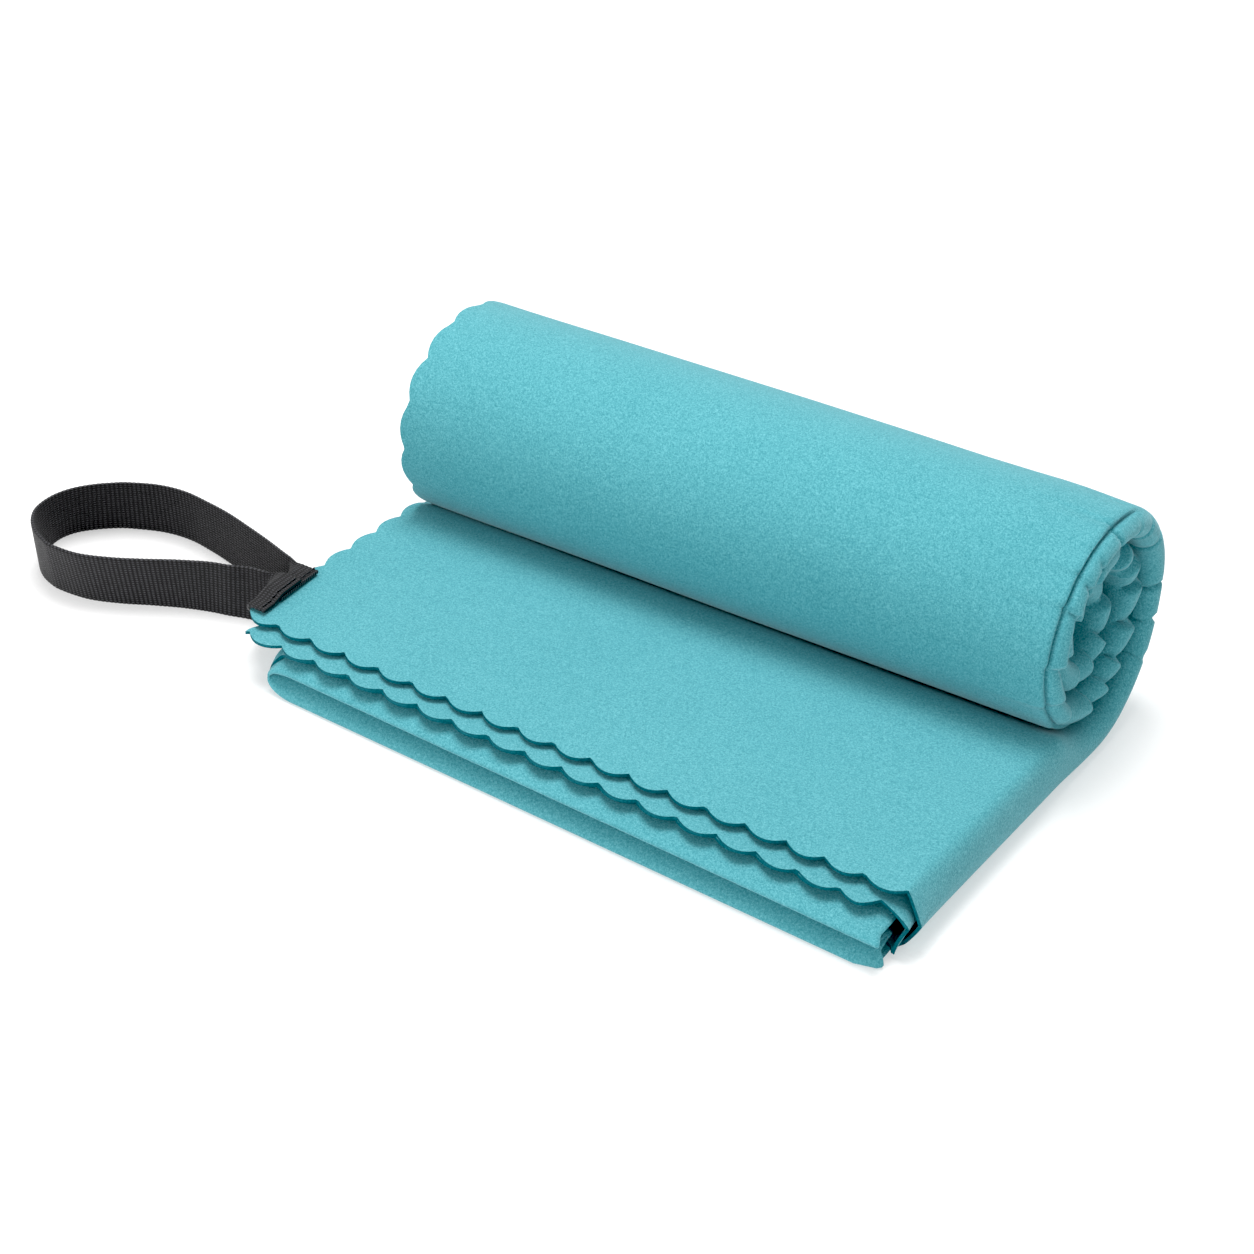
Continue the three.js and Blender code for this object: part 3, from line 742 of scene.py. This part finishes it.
def webbing_mesh(material):
    """The webbing as one strip with ribs: its section, a flat loop of places round the tape, spans from
    its lower to its upper edge, and its thickness swells at each rib by |sin| of the run."""
    stations = int(tape_edges(9)[3] / RIB * 6)
    upper, lower, up, length = tape_edges(stations)
    line, width = (upper + lower) / 2, (upper - lower) / 2
    tangent = np.gradient(line, axis=0)
    face = np.cross(tangent, width)
    face /= np.linalg.norm(face, axis=1, keepdims=True)
    run = np.linspace(0, length, stations)
    bead = np.abs(np.sin(math.pi * run / RIB))
    swell = 0.13  # how much thicker each face is on a rib
    w = np.array([1, 1, 0.98, 0.9, 0.75, 0.5, 0.25, 0, -0.25, -0.5, -0.75, -0.9, -0.98, -1])
    w = np.concatenate([-w, w])
    h = np.concatenate([[-0.55, -0.9], -np.ones(10), [-0.9, -0.55]])
    h = np.concatenate([h, -h])
    half_w = (1 - 0.012 + 0.012 * bead)[:, None, None]
    half_t = (TAPE_THICK / 2 - swell + swell * bead)[:, None, None]
    points = line[:, None] + width[:, None] * w[None, :, None] * half_w
    points = points + face[:, None] * h[None, :, None] * half_t
    points[..., 0] -= SLANT * (points[..., 1] - NEAR_Y) * (1 - up[:, None])

    # In front of the far end, the near end drops to the leaf.
    over = (1 - up[:, None]) * (run[:, None] < length / 2)
    points[..., 2] -= (NEAR_Z - FAR_Z) * smooth((FAR_LOW[1] - 3 - points[..., 1]) / 5) * over
    count = len(w)
    faces = [f[::-1] for f in grid_faces(stations, count, 0, closed=True)]
    faces += [list(range(count)), [(stations - 1) * count + i for i in reversed(range(count))]]
    uv = np.stack(np.broadcast_arrays(run[:, None] * MM, w[None] * TAPE_WIDTH / 2 * MM), -1)
    return new_mesh("hang_loop_webbing", points.reshape(-1, 3), faces, [material], sharp=math.radians(50),
                    uv=uv.reshape(-1, 2)), length


def stitches_mesh(material):
    """The seam's lockstitches: on the webbing and under the leaf, a row of short plump stitches, each an
    ellipsoid drawn out along the seam."""
    inset, stitch, thread = 2.2, 3.2, 0.75
    start, end = NEAR_LOW[1] + 1.6, FAR_HIGH[1] - 1.6
    count = int((end - start) / stitch)
    around = np.linspace(0, 2 * math.pi, 8, endpoint=False)[None]
    down = np.linspace(0, math.pi, 7)[:, None]
    round_section = (np.cos(around) * np.sin(down), np.cos(down), np.sin(around) * np.sin(down))
    ball = np.stack(np.broadcast_arrays(*round_section), -1)
    size = np.array([thread / 2, 0.46 * stitch, thread / 2])
    points, faces = [], []
    for k in range(count):
        y = start + (k + 0.5) * stitch
        x = CUT_X - inset - SLANT * (y - NEAR_Y)
        sunk = smooth((FAR_LOW[1] - 3 - y) / 5) if y < NEAR_HIGH[1] else 1.0
        over = NEAR_HIGH[2] - (NEAR_Z - FAR_Z) * sunk
        for z in (over + 0.2, LEAF_HIGH[2] - THICK - 0.1):
            base = len(points) * ball.shape[0] * ball.shape[1]
            points.append((ball * size + np.array([x, y, z])).reshape(-1, 3))
            faces += grid_faces(ball.shape[0], ball.shape[1], base, closed=True)
    return new_mesh("seam_stitches", np.concatenate(points), faces, [material])


# ---- Studio ------------------------------------------------------------------------------------------


def studio():
    """A pale seamless floor that glows a little. The glow is painted light that keeps the shadows on
    it faint. There is a large soft key overhead and to the left, a weaker low fill from the front,
    and an even white surround."""
    material, tree, shader = blank("studio_paper_painted_glow")
    place = node(tree, "ShaderNodeTexCoord").outputs["Object"]
    tooth = node(tree, "ShaderNodeTexNoise", {"Vector": place}, in_Scale=1 / (1.2 * MM))
    colour = ramp(tree, tooth.outputs["Fac"], [(0.3, linear("#c4c4c4")), (0.7, linear("#c8c8c8"))])
    tree.links.new(colour, shader.inputs["Base Color"])
    # Painted light: the floor glows in its own colour, so that shadows cast on it stay faint.
    tree.links.new(colour, shader.inputs["Emission Color"])
    shader.inputs["Emission Strength"].default_value = 0.80
    shader.inputs["Roughness"].default_value = 0.9
    shader.inputs["Specular IOR Level"].default_value = 0.1
    size, height = 6000.0, -0.05
    ends = [(-size, -size, height), (size, -size, height), (size, size, height), (-size, size, height)]
    floor = new_mesh("studio_floor", ends, [[0, 1, 2, 3]], [material])

    world = bpy.data.worlds.new("surround")
    world.use_nodes = True
    background = world.node_tree.nodes["Background"]
    background.inputs["Color"].default_value = linear("#ffffff")
    background.inputs["Strength"].default_value = 0.62
    bpy.context.scene.world = world

    centre = Vector((0, -40, 20)) * MM
    for name, where, watts, side in (
        ("key", (-180, 110, 1480), 22.0, 750),
        ("fill", (-250, -1500, 440), 12.0, 1200),
    ):
        light = bpy.data.lights.new(name, "AREA")
        light.energy = watts
        light.shape = "SQUARE"
        light.size = side * MM
        lamp = bpy.data.objects.new(name, light)
        lamp.location = Vector(where) * MM
        lamp.rotation_mode = "QUATERNION"
        lamp.rotation_quaternion = (centre - lamp.location).to_track_quat("-Z", "Y")
        bpy.context.scene.collection.objects.link(lamp)


def viewpoint():
    """The camera: 33.7 degrees round from the front towards the right, 32.8 degrees up, tilted a
    little to the side."""
    azimuth, elevation, tilt = math.radians(33.69), math.radians(32.77), math.radians(1.757)
    level = math.cos(elevation)
    back = Vector((math.sin(azimuth) * level, -math.cos(azimuth) * level, math.sin(elevation)))
    right = Vector((math.cos(azimuth), math.sin(azimuth), 0))
    up = back.cross(right)
    tilted_right = math.cos(tilt) * right + math.sin(tilt) * up
    tilted_up = math.cos(tilt) * up - math.sin(tilt) * right
    camera = bpy.data.cameras.new("viewpoint")
    camera.lens = 73.42
    camera.sensor_width = 36.0
    eye = bpy.data.objects.new("viewpoint", camera)
    turn = Matrix((tilted_right, tilted_up, back)).transposed().to_4x4()
    eye.matrix_world = Matrix.Translation(Vector((444.5, -764.0, 567.3)) * MM) @ turn
    bpy.context.scene.collection.objects.link(eye)
    bpy.context.scene.camera = eye


# ---- The towel ------------------------------------------------------------------------------------------

viewpoint()
studio()
look = bpy.context.scene.view_settings
look.view_transform = "Standard"
look.use_curve_mapping = True
look.curve_mapping.black_level = (0.02, 0.02, 0.02)  # deepens the darkest shades a little

towel = towel_mesh([suede_microfibre(), cut_suede()])
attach(towel, "towel")
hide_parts("towel_roll", "tail_top_leaf", "tail_second_leaf", "tail_third_leaf",
            "tail_bottom_pleat", "tail_outer_side_fold", "tail_inner_side_fold")

tape, tape_length = webbing_mesh(ribbed_webbing())
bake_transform(tape)
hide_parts("hang_loop", "hang_loop_near_end", "hang_loop_far_end")

thread = stitches_mesh(spun_thread())
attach(thread, "towel")
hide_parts("seam_needle_thread", "seam_bobbin_thread")
